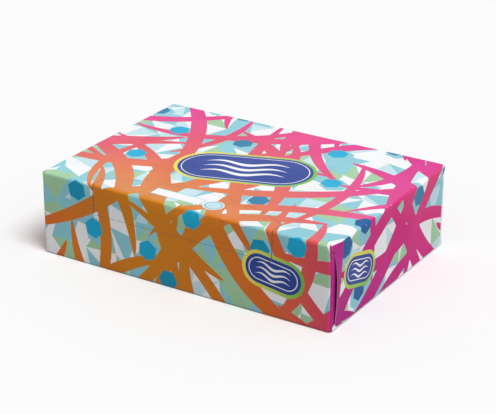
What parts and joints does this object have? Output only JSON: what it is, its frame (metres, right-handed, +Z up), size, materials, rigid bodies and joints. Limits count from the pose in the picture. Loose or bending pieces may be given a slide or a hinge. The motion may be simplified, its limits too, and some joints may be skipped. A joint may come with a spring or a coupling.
{
  "type": "tissue box",
  "caption": "Flat, wide folding carton of facial tissues, sealed and full, with glued end flaps and an unbroken tear outline over its top and front.",
  "frame": {"origin": "middle of the underside, on the surface that the box stands on", "axes": "+X along the length, +Y to the back, away from the tear-out front, +Z up"},
  "size_m": [0.232, 0.161, 0.061],
  "materials": {
    "printed_board": "printed, satin varnish"
  },
  "bodies": {
    "root": {"carton": "printed_board"}
  },
  "joints": []
}
